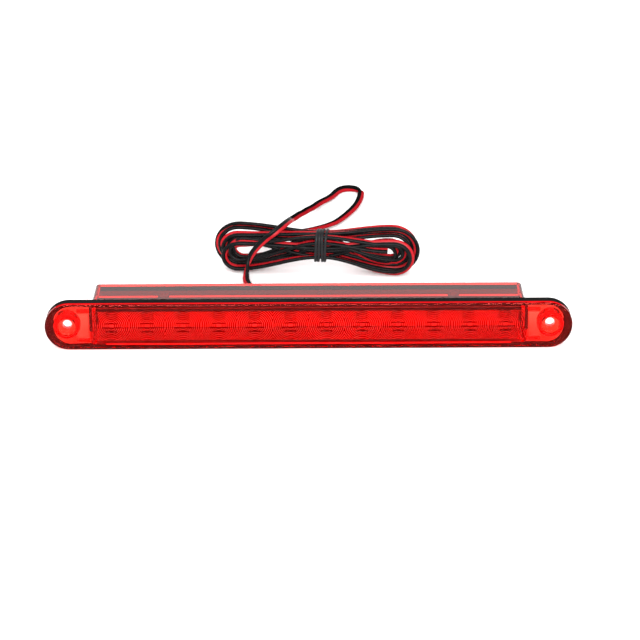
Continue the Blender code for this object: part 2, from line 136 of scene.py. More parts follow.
# The camera
ELEVATION = math.radians(22.0)
DISTANCE = 1.45
FRAME_WIDTH = 0.28674  # what the picture's width holds at the lens
ROLL = math.radians(-0.29)
AIM = Vector((5.15 * MM, FRONT, MIDDLE + 3.1 * MM))


# ---------------------------------------------------------------- camera
def add_camera():
    data = bpy.data.cameras.new("camera")
    data.sensor_width = 36.0
    data.lens = data.sensor_width * DISTANCE / FRAME_WIDTH
    data.clip_start = 0.05
    camera = bpy.data.objects.new("camera", data)
    bpy.context.collection.objects.link(camera)
    away = Vector((0, -math.cos(ELEVATION), math.sin(ELEVATION)))
    place = AIM + away * DISTANCE
    turn = away.to_track_quat("Z", "Y").to_matrix().to_4x4()
    camera.matrix_world = Matrix.Translation(place) @ turn @ Matrix.Rotation(ROLL, 4, "Z")
    bpy.context.scene.camera = camera


add_camera()


# ---------------------------------------------------------------- mesh helpers
def add_object(name, mesh, *mats):
    obj = bpy.data.objects.new(name, mesh)
    bpy.context.collection.objects.link(obj)
    for mat in mats:
        mesh.materials.append(mat)
    return obj


def finish_mesh(bm, name="mesh"):
    bmesh.ops.recalc_face_normals(bm, faces=bm.faces)
    mesh = bpy.data.meshes.new(name)
    bm.to_mesh(mesh)
    bm.free()
    return mesh


def smooth(obj, angle=35):
    obj.data.shade_smooth()
    obj.data.set_sharp_from_angle(angle=math.radians(angle))


def merged(points):
    """The points without any that repeats the one before it."""
    kept = []
    for point in points:
        if not kept or math.dist(point, kept[-1]) > 1e-6:
            kept.append(point)
    if math.dist(kept[0], kept[-1]) < 1e-6:
        kept.pop()
    return kept


def round_rect(half_x, half_z, corner, steps, centre=(0.0, MIDDLE)):
    points = []
    for side_x, side_z, start in ((1, 1, 0), (-1, 1, 90), (-1, -1, 180), (1, -1, 270)):
        centre_x = centre[0] + side_x * (half_x - corner)
        centre_z = centre[1] + side_z * (half_z - corner)
        for step in range(steps + 1):
            angle = math.radians(start + 90 * step / steps)
            points.append((centre_x + corner * math.cos(angle), centre_z + corner * math.sin(angle)))
    return merged(points)


def circle(centre_x, centre_z, radius, steps):
    turn = [2 * math.pi * step / steps for step in range(steps)]
    return [(centre_x + radius * math.cos(a), centre_z + radius * math.sin(a)) for a in turn]


def rectangle(low_x, high_x, low_z, high_z):
    return [(low_x, low_z), (high_x, low_z), (high_x, high_z), (low_x, high_z)]


def prism(outline, front, back):
    """A mesh with the XZ outline, from y = front to y = back."""
    bm = bmesh.new()
    face = bm.faces.new([bm.verts.new((x, front, z)) for x, z in outline])
    moved = bmesh.ops.extrude_face_region(bm, geom=[face])["geom"]
    verts = [item for item in moved if isinstance(item, bmesh.types.BMVert)]
    bmesh.ops.translate(bm, verts=verts, vec=(0, back - front, 0))
    return finish_mesh(bm)


def tapered_prism(near_outline, far_outline, front, back):
    """A mesh between two outlines with as many points each."""
    bm = bmesh.new()
    near = [bm.verts.new((x, front, z)) for x, z in near_outline]
    far = [bm.verts.new((x, back, z)) for x, z in far_outline]
    bm.faces.new(near)
    bm.faces.new(far)
    for i in range(len(near)):
        j = (i + 1) % len(near)
        bm.faces.new((near[i], near[j], far[j], far[i]))
    return finish_mesh(bm)


def combine(obj, steps):
    """Applies a list of (operation, mesh, location) Booleans to obj, and takes its tools away."""
    tools = []
    for operation, mesh, location in steps:
        tool = add_object("tool", mesh, *(LENS_MATERIALS if not mesh.materials else ()))
        tool.location = location
        tools.append(tool)
        mod = obj.modifiers.new(operation.lower(), "BOOLEAN")
        mod.operation = operation
        mod.object = tool
        mod.solver = "EXACT"
    bake_modifiers(obj)
    for tool in tools:
        bpy.data.objects.remove(tool, do_unlink=True)


def bake_modifiers(obj):
    graph = bpy.context.evaluated_depsgraph_get()
    mesh = bpy.data.meshes.new_from_object(obj.evaluated_get(graph), depsgraph=graph)
    obj.modifiers.clear()
    obj.data = mesh


def bevel(obj, width, segments=3, angle=50):
    mod = obj.modifiers.new("bevel", "BEVEL")
    mod.width = width
    mod.segments = segments
    mod.limit_method = "ANGLE"
    mod.angle_limit = math.radians(angle)


# ---------------------------------------------------------------- material helpers
class Tree:
    """A small wrapper that adds and links nodes of one material."""

    def __init__(self, name):
        self.mat = bpy.data.materials.new(name)
        self.mat.use_nodes = True
        self.nodes = self.mat.node_tree.nodes
        self.links = self.mat.node_tree.links
        self.shader = self.nodes["Principled BSDF"]
        self.output = self.nodes["Material Output"]

    def add(self, kind, **values):
        node = self.nodes.new(kind)
        for key, value in values.items():
            setattr(node, key, value)
        return node

    def link(self, source, target):
        self.links.new(source, target)

    def place(self):
        """The object's own coordinates, in metres."""
        return self.add("ShaderNodeTexCoord").outputs["Object"]

    def noise(self, scale, detail=3.0):
        node = self.add("ShaderNodeTexNoise")
        node.inputs["Scale"].default_value = scale
        node.inputs["Detail"].default_value = detail
        self.link(self.place(), node.inputs["Vector"])
        return node.outputs["Fac"]

    def ramp(self, factor, stops):
        node = self.add("ShaderNodeValToRGB")
        elements = node.color_ramp.elements
        while len(elements) < len(stops):
            elements.new(0.5)
        for element, (position, colour) in zip(elements, stops):
            element.position = position
            element.color = (*colour, 1.0)
        self.link(factor, node.inputs["Fac"])
        return node.outputs["Color"]

    def spread(self, factor, low, high, start=0.3, end=0.7):
        """The factor taken from start..end to low..high."""
        node = self.add("ShaderNodeMapRange")
        for key, value in (("From Min", start), ("From Max", end), ("To Min", low), ("To Max", high)):
            node.inputs[key].default_value = value
        self.link(factor, node.inputs["Value"])
        return node.outputs["Result"]

    def bump(self, height, strength, distance):
        node = self.add("ShaderNodeBump")
        node.inputs["Strength"].default_value = strength
        node.inputs["Distance"].default_value = distance
        self.link(height, node.inputs["Height"])
        self.link(node.outputs["Normal"], self.shader.inputs["Normal"])


def plain(name, colour, roughness, variation=0.12, grain=900.0, bump=0.05, specular=0.5):
    """An opaque moulded surface: slight tone variation, uneven gloss and a fine grain."""
    tree = Tree(name)
    light = tuple(min(c * (1 + variation), 1.0) for c in colour)
    dark = tuple(c * (1 - variation) for c in colour)
    tone = tree.ramp(tree.noise(60.0), [(0.35, dark), (0.65, light)])
    tree.link(tone, tree.shader.inputs["Base Color"])
    gloss = tree.spread(tree.noise(grain * 0.3), roughness * 0.85, min(roughness * 1.2, 1.0))
    tree.link(gloss, tree.shader.inputs["Roughness"])
    tree.shader.inputs["Specular IOR Level"].default_value = specular
    tree.bump(tree.noise(grain), bump, 0.0002)
    return tree.mat


def red_plastic(name):
    """Clear red acrylic: the colour comes from the depth of plastic that light crosses.

    Reflections are tinted red, a little less on the box than on the flange, and shadows are let through."""
    tree = Tree(name)
    shader = tree.shader
    shader.inputs["Base Color"].default_value = (1.0, 1.0, 1.0, 1.0)
    shader.inputs["Roughness"].default_value = 0.0
    shader.inputs["IOR"].default_value = 1.49
    shader.inputs["Transmission Weight"].default_value = 1.0
    parts = tree.add("ShaderNodeSeparateXYZ")
    tree.link(tree.place(), parts.inputs["Vector"])
    flange = tree.add("ShaderNodeMath", operation="LESS_THAN")
    flange.inputs[1].default_value = FRONT + FLANGE_THICK
    tree.link(parts.outputs["Y"], flange.inputs[0])
    tint = tree.ramp(flange.outputs["Value"], [(0.4, (1.0, 0.25, 0.20)), (0.6, (1.0, 0.14, 0.12))])
    tree.link(tint, shader.inputs["Specular Tint"])
    path = tree.add("ShaderNodeLightPath")
    clear = tree.add("ShaderNodeBsdfTransparent")
    mix = tree.add("ShaderNodeMixShader")
    tree.link(path.outputs["Is Shadow Ray"], mix.inputs[0])
    tree.link(shader.outputs[0], mix.inputs[1])
    tree.link(clear.outputs[0], mix.inputs[2])
    tree.link(mix.outputs[0], tree.output.inputs["Surface"])
    absorb = tree.add("ShaderNodeVolumeAbsorption")
    absorb.inputs["Color"].default_value = (0.992, 0.1545, 0.0, 1.0)
    absorb.inputs["Density"].default_value = 1540.0
    tree.link(absorb.outputs[0], tree.output.inputs["Volume"])
    return tree.mat


# ---------------------------------------------------------------- paths and sweeps
def smooth_route(route, step):
    """Points about a step apart along a smooth curve through the route's own points."""
    knots = [Vector(place) for place in route]
    fine = []
    for i in range(len(knots) - 1):
        before = knots[max(i - 1, 0)]
        after = knots[min(i + 2, len(knots) - 1)]
        start, end = knots[i], knots[i + 1]
        first = start + (end - before) / 6
        second = end - (after - start) / 6
        fine += interpolate_bezier(start, first, second, end, 16)[:-1]
    fine.append(knots[-1])
    line = np.array(fine)
    along = np.concatenate([[0.0], np.cumsum(np.linalg.norm(np.diff(line, axis=0), axis=1))])
    count = max(int(along[-1] / step), 2)
    wanted = np.linspace(0, along[-1], count + 1)
    return np.column_stack([np.interp(wanted, along, line[:, k]) for k in range(3)])


def unit(rows):
    return rows / np.linalg.norm(rows, axis=1, keepdims=True)


def sweep(name, path, side, outline):
    """A tube along path. outline has (across, through) points; across lies along side."""
    tangent = unit(np.gradient(path, axis=0))
    across = unit(side - (side * tangent).sum(1, keepdims=True) * tangent)
    through = np.cross(tangent, across)
    count = len(outline)
    verts = [path + across * u + through * v for u, v in outline]
    verts = np.stack(verts, axis=1).reshape(-1, 3)
    faces = []
    rings = len(path)
    for i in range(rings - 1):
        for j in range(count):
            k = (j + 1) % count
            faces.append((i * count + j, (i + 1) * count + j, (i + 1) * count + k, i * count + k))
    faces.append(tuple(range(count)))
    faces.append(tuple((rings - 1) * count + j for j in reversed(range(count))))
    mesh = bpy.data.meshes.new(name)
    mesh.from_pydata(verts.tolist(), [], faces)
    bm = bmesh.new()
    bm.from_mesh(mesh)
    bmesh.ops.recalc_face_normals(bm, faces=bm.faces)
    bm.to_mesh(mesh)
    bm.free()
    return mesh


# ---------------------------------------------------------------- the lead
# The route of the CAD's tube: out of the cover, down, up over the hank, round behind it and back
GROMMET_REACH = 6.2 * MM
FIT_GAP = 0.3 * MM
EXIT = Vector((0.0080, COVER_HIGH.y + GROMMET_REACH + FIT_GAP, MIDDLE))
FREE_ROUTE = [
    (0.0080, EXIT.y, MIDDLE),
    (0.0080, 0.0245, 0.0109),
    (0.0078, 0.0292, 0.0101),
    (0.0066, 0.0340, 0.0078),
    (0.0034, 0.0385, 0.0048),
    (-0.0024, 0.0422, 0.0026),
    (-0.0100, 0.0455, ON_FLOOR),
    (-0.0185, 0.0492, ON_FLOOR),
    (-0.0256, 0.0545, ON_FLOOR),
    (-0.0290, 0.0620, ON_FLOOR),
    (-0.0298, 0.0692, 0.0022),
    (-0.0292, 0.0740, 0.0056),
    (-0.0276, 0.0753, 0.0102),
    (-0.0248, 0.0751, 0.0144),
    (-0.0209, 0.0749, 0.0186),
    (-0.0165, 0.0750, 0.0220),
    (-0.0131, 0.0772, 0.0241),
    (-0.0106, 0.0812, 0.0248),
    (-0.0087, 0.0868, 0.0242),
    (-0.0074, 0.0983, 0.0208),
    (-0.0061, 0.1104, 0.0173),
    (-0.0046, 0.1226, 0.0139),
    (-0.0027, 0.1347, 0.0105),
    (-0.0006, 0.1469, 0.0074),
    (0.0020, 0.1590, 0.0044),
    (0.0055, 0.1712, 0.0024),
    (0.0108, 0.1809, ON_FLOOR),
    (0.0147, 0.1902, ON_FLOOR),
    (0.0181, 0.1936, ON_FLOOR),
    (0.0227, 0.1935, ON_FLOOR),
    (0.0259, 0.1901, ON_FLOOR),
    (0.0262, 0.1858, ON_FLOOR),
    (0.0250, 0.1750, ON_FLOOR),
    (0.0214, 0.1620, ON_FLOOR),
    (0.0144, 0.1464, ON_FLOOR),
    (0.0086, 0.1395, ON_FLOOR),
    (0.0018, 0.1346, ON_FLOOR),
    (-0.0070, 0.1296, ON_FLOOR),
    (-0.0148, 0.1226, 0.0022),
    (-0.0208, 0.1141, 0.0042),
    (-0.0250, 0.1056, 0.0074),
    (-0.0277, 0.0972, 0.0106),
    (-0.0296, 0.0901, 0.0123),
]

# Where the black core lies, seen from the middle of the lead, at some points of the free route
BLACK_SIDE = {
    0: (1, 0, 0),
    9: (1, 0, 0.2),
    10: (0.9, -0.2, 0.4),
    11: (0.2, -0.9, 0.4),
    12: (-0.7, -0.4, 0.4),
    14: (-0.8, -0.1, 0.6),
    18: (-0.9, 0.1, 0.5),
    26: (-0.8, 0.5, 0.3),
    28: (-0.3, 0.4, 0.9),
    29: (-0.3, 0.0, 1.0),
    31: (-1.0, 0.1, 0.3),
    34: (-0.7, 0.7, 0.1),
    36: (-0.4, 0.9, -0.2),
    42: (0, 0.2, 1),
}

# Each half turn of the hank, in mm from its middle: the end it goes round, how far out, the highest
# and lowest it reaches there, then the height at which it next passes the tie and its depth there,
# and how far the black core is rolled from the outside of the turn towards the front, in degrees
HALF_TURNS = [
    ("left", 47.5, 8.0, -9.6, -3.4, 3.1, 40),
    ("right", 48.2, 10.3, -9.8, 7.2, 3.1, 150),
    ("left", 49.1, 10.3, -9.8, -0.8, 3.1, 20),
    ("right", 46.5, 8.2, -8.0, 4.8, 3.1, 40),
    ("left", 48.6, 9.2, -7.4, -3.4, 0.2, 145),
    ("right", 49.2, 10.2, -9.4, 7.4, 0.4, 25),
    ("left", 47.0, 6.2, -8.4, -0.8, 0.2, 140),
    ("right", 45.5, 7.4, -6.6, 4.6, 0.2, 50),
    ("left", 44.5, 5.2, -6.2, 1.6, 0.0, 150),
    ("right", 41.4, 5.6, -3.4, -3.2, -1.2, 60),
    ("left", 42.6, 3.4, -5.4, 5.8, -1.4, 135),
    ("right", 39.6, 3.2, -5.6, -0.4, -1.6, 140),
    ("left", 41.0, 4.6, -4.2, 3.4, -1.8, 60),
    ("right", 43.2, 3.9, -4.8, 7.0, -2.9, 140),
    ("left", 45.6, 2.0, -9.6, -3.0, -3.2, 35),
    ("right", 46.8, 5.0, -10.2, 2.0, -3.2, 145),
    ("left", 43.0, 3.4, -5.4, 4.2, -3.2, 120),
]
BARE_END = (34.0, -3.3, 0.9)
ENTRY = [(-38.6, 3.9, -0.4), (-41.6, 3.6, -1.9), (-42.9, 3.35, -5.1)]  # where the lead joins the hank
ENTRY_ROLL = 40.0
END_ROLL = 60.0

EDGE = 1.6  # from the lead's middle line to the outside of a turn
END_STRETCH = 1.08
TURN_STEPS = 12
FIRST_BEGIN = 10  # the step at which the first half turn starts, as ENTRY has already made most of it
RUN_STEPS = 8
END_STEPS = 6
HINT_BLEND = 24.0  # points over which the roll passes from the free route's to the hank's


def ease(share):
    return 0.5 - 0.5 * math.cos(math.pi * share)


def hank_run(start, end, steps):
    """Points from start towards end, with the height eased at both; end itself is left out."""
    points = []
    for step in range(steps):
        share = step / steps
        x, depth = (start[k] + (end[k] - start[k]) * share for k in (0, 1))
        points.append((x, depth, start[2] + (end[2] - start[2]) * ease(share)))
    return points


def hank_points():
    """The folded lead's route in the hank's own axes, in mm: x along it, y deep, z up.

    The second list says how far the black core is rolled at each point."""
    points = list(ENTRY)
    marks = [(0, ENTRY_ROLL)]
    waist = None
    for side, reach, top, bottom, next_z, next_depth, roll in HALF_TURNS:
        sign = -1 if side == "left" else 1
        middle = (top + bottom) / 2
        half = (top - bottom) / 2
        round_x = reach - EDGE - half * END_STRETCH
        first = -sign  # leftward runs arrive high, rightward ones low
        depth = waist[1] if waist else points[-1][1]
        if waist:
            points += hank_run(waist, (sign * round_x, depth, middle + first * half), RUN_STEPS)
        begin = 0 if waist else FIRST_BEGIN
        marks.append((len(points) + (TURN_STEPS - begin) / 2, float(roll)))
        for step in range(begin, TURN_STEPS):
            share = step / TURN_STEPS
            angle = math.radians(first * (90 - 180 * share))
            x = sign * (round_x + half * END_STRETCH * math.cos(angle))
            level = depth + (next_depth - depth) * share
            points.append((x, level, middle + half * math.sin(angle)))
        waist = (TIE_OFFSET / MM, next_depth, next_z)
        points += hank_run((sign * round_x, next_depth, middle - first * half), waist, RUN_STEPS)
    points += hank_run(waist, BARE_END, END_STEPS)
    points.append(BARE_END)
    marks.append((len(points), END_ROLL))
    rolls = np.interp(range(len(points)), [at for at, _ in marks], [roll for _, roll in marks])
    return points, rolls


def to_world(points):
    turn = Matrix.Rotation(HANK_YAW, 3, "Z")
    return [HANK_CENTRE + turn @ (Vector(p) * MM) for p in points]


def black_hints(path, count_free, hank_knots, rolls):
    """The direction of the black core at every point of the path."""
    marks = sorted(BLACK_SIDE)
    knots = np.array(FREE_ROUTE)
    nearest = [int(np.argmin(((path[:count_free] - knots[m]) ** 2).sum(1))) for m in marks]
    sides = np.array([BLACK_SIDE[m] for m in marks], float)
    at = np.arange(len(path))
    hints = np.column_stack([np.interp(at, nearest, sides[:, k]) for k in range(3)])
    along = np.concatenate([[0.0], np.cumsum(np.linalg.norm(np.diff(hank_knots, axis=0), axis=1))])
    roll = np.radians(np.interp((at - count_free) * CORD_STEP, along, rolls))[:, None]
    tangent = unit(np.gradient(path, axis=0))
    facing = np.array(Matrix.Rotation(HANK_YAW, 3, "Z") @ Vector((0, -1, 0)))
    outside = unit(np.cross(tangent, facing))
    rolled = outside * np.cos(roll) + facing * np.sin(roll)
    share = np.clip((at - count_free) / HINT_BLEND, 0, 1)[:, None]
    return hints * (1 - share) + rolled * share


def twin_outline():
    """A figure of eight: the black core at +, the red one at -."""
    turn = [math.radians(145 - 290 * step / 8) for step in range(9)]
    black = [(CORE_R + CORE_R * math.cos(a), CORE_R * math.sin(a)) for a in turn]
    red = [(-u, -v) for u, v in black]
    return black + red


def pvc(name, colour):
    """Soft plastic whose gloss fades out behind y = GLOSS_FADE, so the run on the floor has no glare."""
    tree = Tree(name)
    light = tuple(min(c * 1.25 + 0.004, 1.0) for c in colour)
    tone = tree.ramp(tree.noise(220.0), [(0.3, colour), (0.75, light)])
    tree.link(tone, tree.shader.inputs["Base Color"])
    tree.link(tree.spread(tree.noise(500.0), 0.22, 0.34), tree.shader.inputs["Roughness"])
    parts = tree.add("ShaderNodeSeparateXYZ")
    tree.link(tree.place(), parts.inputs["Vector"])
    shine = tree.spread(parts.outputs["Y"], GLOSS, 0.0, *GLOSS_FADE)
    tree.link(shine, tree.shader.inputs["Specular IOR Level"])
    tree.bump(tree.noise(1400.0, 2.0), 0.10, 0.0002)
    return tree.mat


def make_lead():
    free = smooth_route(FREE_ROUTE, CORD_STEP)
    folded, rolls = hank_points()
    hank = to_world(folded)
    path = smooth_route([Vector(p) for p in FREE_ROUTE] + hank, CORD_STEP)
    hints = black_hints(path, len(free), np.array(hank), rolls)
    outline = twin_outline()
    mesh = sweep("twin_lead", path, hints, outline)
    black = pvc("black_pvc", (0.0022, 0.0022, 0.0025))
    red = pvc("red_pvc", (0.27, 0.006, 0.010))
    lead = add_object("twin_lead", mesh, black, red)
    count = len(outline)
    for index, face in enumerate(mesh.polygons):
        face.material_index = 1 if 9 <= index % count < 17 else 0
    smooth(lead, 60)
    length = float(np.linalg.norm(np.diff(path, axis=0), axis=1).sum())
    return lead, path, length


TIE_TURNS = 4
TIE_STEPS = 28
TIE_PITCH = 1.46
TIE_HALF_DEPTH = 5.5
TIE_HALF_HEIGHT = 7.4
TIE_RISE = 1.6
TIE_SQUARE = 0.62  # the smaller, the squarer the turns
TIE_START = -math.pi / 2 - 0.5
TIE_LEAN = 0.30
TIE_HALF_WIDTH = 0.65 * MM
TIE_HALF_THICK = 0.32 * MM


def tie_path():
    """A flat tie wound round the hank's waist, in the hank's own axes, in mm."""
    points = []
    total = TIE_TURNS * TIE_STEPS
    for step in range(total + 1):
        angle = TIE_START + 2 * math.pi * step / TIE_STEPS
        c, s = math.cos(angle), math.sin(angle)
        depth = -TIE_HALF_DEPTH * math.copysign(abs(c) ** TIE_SQUARE, c)
        height = TIE_HALF_HEIGHT * math.copysign(abs(s) ** TIE_SQUARE, s)
        turn = step / TIE_STEPS
        lean = TIE_LEAN * math.sin(2.1 * turn) * math.sin(angle)
        along = TIE_OFFSET / MM + (turn - TIE_TURNS / 2) * TIE_PITCH + lean
        points.append((along, depth, height + TIE_RISE))
    return points


def make_tie():
    path = np.array([tuple(p) for p in to_world(tie_path())])
    side = np.tile(np.array(Matrix.Rotation(HANK_YAW, 3, "Z") @ Vector((1, 0, 0))), (len(path), 1))
    turn = [2 * math.pi * k / 10 for k in range(10)]
    outline = [(TIE_HALF_WIDTH * math.cos(a), TIE_HALF_THICK * math.sin(a)) for a in turn]
    mesh = sweep("tie_wraps", path, side, outline)
    film = plain("tie_film", (0.010, 0.010, 0.011), 0.40, 0.45, 900.0, 0.35, 0.12)
    tie = add_object("tie_wraps", mesh, film)
    smooth(tie, 60)
    return tie


# ---------------------------------------------------------------- the lens body
LENS_MATERIALS = (
    red_plastic("red_acrylic"),
    # the ring grooves' opaque dark red is painted shade, standing in for the dark rings the clear lens
    # shows
    plain("ring_groove_shade", (0.075, 0.003, 0.003), 0.6, 0.2),
    # painted shade: opaque dark faces for the LEDs' shadows and the dark bands inside the box
    plain("painted_shade_faces", (0.05, 0.003, 0.003), 0.8, 0.2, 900.0, 0.05, 0.1),
    # painted light: pale faces on a line of the upper wall and on the bottom wall
    plain("painted_light_faces", (0.90, 0.88, 0.86), 0.6, 0.05),
    # painted light: a pink face that shows through the flange as a bright line
    plain("painted_light_strip", (0.80, 0.34, 0.32), 0.6, 0.05),
    plain("edge_glow", (0.52, 0.005, 0.007), 0.7, 0.05, 700.0, 0.02, 0.0),
)
GROOVE_SHADE_FACE, PAINTED_SHADE_FACE, PAINTED_LIGHT_FACE, PAINTED_STRIP_FACE, EDGE_FACE = 1, 2, 3, 4, 5


def marked(mesh, index, front_only=False):
    """The mesh, with the lens's material of that index on its faces, apart from the back."""
    for mat in LENS_MATERIALS:
        mesh.materials.append(mat)
    for face in mesh.polygons:
        on = face.normal.y < -0.5 if front_only else face.normal.y < 0.5
        face.material_index = index if on else 0
    return mesh


def ring_tool():
    """The air behind one LED's part of the window: its flat front face has the ring grooves, whose sloping
    faces carry painted shade, and dark bars of painted LED shadow.
    """
    plane = FRONT + FLANGE_THICK - RING_PLANE_SINK
    back = FRONT + FLANGE_THICK + RING_TOOL_BACK
    profile = [(0.0, plane)]
    radius = RING_FIRST
    while radius < RING_REACH:
        profile.append((radius, plane))
        profile.append((radius + RING_GROOVE / 2, plane - RING_DEPTH))
        profile.append((radius + RING_GROOVE, plane))
        radius += RING_PITCH
    profile.append((radius, plane))
    profile.append((radius, back))
    profile.append((0.0, back))
    bm = bmesh.new()
    verts = [bm.verts.new((r, y, 0)) for r, y in profile]
    edges = [bm.edges.new(pair) for pair in zip(verts, verts[1:])]
    bmesh.ops.spin(
        bm,
        geom=verts + edges,
        cent=(0, 0, 0),
        axis=(0, 1, 0),
        angle=2 * math.pi,
        steps=RING_STEPS,
        use_merge=True,
    )
    bmesh.ops.remove_doubles(bm, verts=bm.verts, dist=1e-6)
    mesh = finish_mesh(bm)
    for face in mesh.polygons:
        # the sloping groove faces get the opaque dark red: painted shade
        face.material_index = GROOVE_SHADE_FACE if -0.98 < face.normal.y < -0.05 else 0
    tool = add_object("ring_tool", mesh, *LENS_MATERIALS)
    steps = []
    for rise, length, thick in LED_SHADOW_BARS:
        half_x, half_z = length * MM / 2, thick * MM / 2
        outline = rectangle(-half_x, half_x, rise * MM - half_z, rise * MM + half_z)
        # each bar is a painted shadow of an LED, opaque and dark
        bar = marked(prism(outline, plane - BAR_DEPTH, back - 0.3 * MM), PAINTED_SHADE_FACE)
        steps.append(("UNION", bar, (0, 0, 0)))
    half = LED_PITCH / 2 - CELL_GAP
    cell = prism(rectangle(-half, half, CELL_LOW - MIDDLE, CELL_HIGH - MIDDLE), FRONT, back - 0.2 * MM)
    combine(tool, steps + [("INTERSECT", cell, (0, 0, 0))])
    mesh = tool.data
    bpy.data.objects.remove(tool, do_unlink=True)
    return mesh


def shade_tools():
    """Thin recesses with dull dark surfaces, painted shade, at the window's top and ends; a line on the
    upper wall and the bottom wall with pale painted light; and the pale strip's, also painted light.
    """
    flange_back = FRONT + FLANGE_THICK
    half_x = BOX_LENGTH / 2 - WALL + SHADE_SINK
    high = MIDDLE + BOX_HEIGHT / 2 - WALL + SHADE_SINK
    top = prism(rectangle(-half_x, half_x, SHADE_LOW, high), flange_back - SHADE_SINK, FRONT + SHADE_DEPTH)
    # the upper inner wall's dark faces are painted shade
    tools = [marked(top, PAINTED_SHADE_FACE)]
    line_low = high - INNER_LINE_HEIGHT
    line = rectangle(-half_x, half_x, line_low, high + SHADE_SINK)
    line = prism(line, FRONT + INNER_LINE[0], FRONT + INNER_LINE[1])
    # a line of painted light across the upper wall's painted shade
    tools.append(marked(line, PAINTED_LIGHT_FACE))
    low = MIDDLE - BOX_HEIGHT / 2 + WALL
    outline = rectangle(-half_x, half_x, low - SHADE_SINK, MIDDLE)
    bottom = prism(outline, flange_back, BOARD_FRONT - BOARD_CLEARANCE)
    for mat in LENS_MATERIALS:
        bottom.materials.append(mat)
    # the bottom wall's inner face gets pale painted light, to brighten the window's lower half
    for face in bottom.polygons:
        face.material_index = PAINTED_LIGHT_FACE if face.normal.z < -0.5 else 0
    tools.append(bottom)
    for side in (-1, 1):
        near, far = sorted((side * SHADE_END, side * SHADE_END_FAR))
        outline = rectangle(near, far, SHADE_END_LOW, SHADE_END_HIGH)
        end = prism(outline, flange_back - SHADE_END_SINK, flange_back + SHADE_END_OUT)
        # the dark recesses at the window's ends are painted shade
        tools.append(marked(end, PAINTED_SHADE_FACE))
    # the strip's pink front face is a painted line of light
    strip = rectangle(-STRIP_HALF_LENGTH, STRIP_HALF_LENGTH, STRIP_LOW, STRIP_HIGH)
    strip = prism(strip, flange_back - SHADE_SINK, flange_back + STRIP_INTO_BOX)
    tools.append(marked(strip, PAINTED_STRIP_FACE, True))
    return tools


def make_lens():
    outline = round_rect(LENGTH / 2, HEIGHT / 2, HEIGHT / 2, 32)
    lens = add_object("lens_moulding", prism(outline, FRONT, FRONT + FLANGE_THICK), *LENS_MATERIALS)
    bevel(lens, EDGE_ROUND, 4)
    inside = FRONT + FLANGE_THICK - OVERLAP
    here = (0, 0, 0)
    near = round_rect(BOX_LENGTH / 2 + BOX_DRAFT, BOX_HEIGHT / 2, BOX_CORNER, 6)
    far = round_rect(BOX_LENGTH / 2, BOX_HEIGHT / 2, BOX_CORNER, 6)
    steps = [("UNION", tapered_prism(near, far, inside, BACK), here)]
    for side in (-1, 1):
        hole_x = side * HOLE_SPACING / 2
        steps.append(("UNION", prism(circle(hole_x, MIDDLE, BOSS_R, 56), inside, FRONT + BOSS_DEPTH), here))
        for level in (-1, 1):
            low = MIDDLE + level * RIB_OFFSET - RIB_THICK / 2
            ends = sorted((side * (BOX_LENGTH - WALL) / 2, side * RIB_FAR))
            rib = prism(rectangle(*ends, low, low + RIB_THICK), inside, FRONT + RIB_DEPTH)
            steps.append(("UNION", rib, here))
    bore = round_rect(BOX_LENGTH / 2 - WALL, BOX_HEIGHT / 2 - WALL, BOX_CORNER / 2, 4)
    steps.append(("DIFFERENCE", prism(bore, FRONT + FLANGE_THICK - BORE_SINK, BACK + MM), here))
    steps += [("DIFFERENCE", tool, here) for tool in shade_tools()]
    for side in (-1, 1):
        hole_x = side * HOLE_SPACING / 2
        pad_ends = sorted((side * PAD_NEAR, side * (HOLE_SPACING / 2 - BOSS_R + PAD_INTO_BOSS)))
        pad = rectangle(*pad_ends, MIDDLE - PAD_HALF_HEIGHT, MIDDLE + PAD_HALF_HEIGHT)
        steps.append(("DIFFERENCE", prism(pad, FRONT + PAD_THICK, FRONT + FLANGE_THICK + MM), here))
        well = prism(circle(hole_x, MIDDLE, COUNTERBORE_R, 56), FRONT - MM, FRONT + COUNTERBORE_DEPTH)
        steps.append(("DIFFERENCE", well, here))
        hole = prism(circle(hole_x, MIDDLE, SCREW_HOLE_R, 40), FRONT, FRONT + BOSS_DEPTH + MM)
        steps.append(("DIFFERENCE", hole, here))
    rings = ring_tool()
    for index in range(LED_COUNT):
        place = ((index - (LED_COUNT - 1) / 2) * LED_PITCH, 0, MIDDLE)
        steps.append(("DIFFERENCE", rings, place))
    combine(lens, steps)
    redden_top_edge(lens)
    smooth(lens, 25)
    return lens


def redden_top_edge(lens):
    """The flange's upper edge is opaque red instead of clear, in place of its glow from inside."""
    for face in lens.data.polygons:
        on_flange = face.center.y < FRONT + FLANGE_THICK and face.material_index == 0
        if on_flange and face.normal.z > 0.85 and face.center.z > MIDDLE + HEIGHT / 4:
            face.material_index = EDGE_FACE


# ---------------------------------------------------------------- the rear cover
BOND = 0.02 * MM  # how far the cover's skirt sinks into the lens's upper wall, where it is glued
COVER_END_GAP = 0.1 * MM
SKIRT_WALL = 1.2 * MM
COVER_THICK = 1.8 * MM
PANEL_INSET = 1.6 * MM
PANEL_DEPTH = 0.35 * MM
PIN_MARK_R = 1.5 * MM
PIN_MARK_PITCH = 34.0 * MM
GROMMET_X = 8.0 * MM
GROMMET_HOLE_R = 3.9 * MM
COLLAR_WIDTH = 2.2 * MM
COLLAR_SINK = 0.1 * MM
PIN_MARK_DEPTH = 0.12 * MM


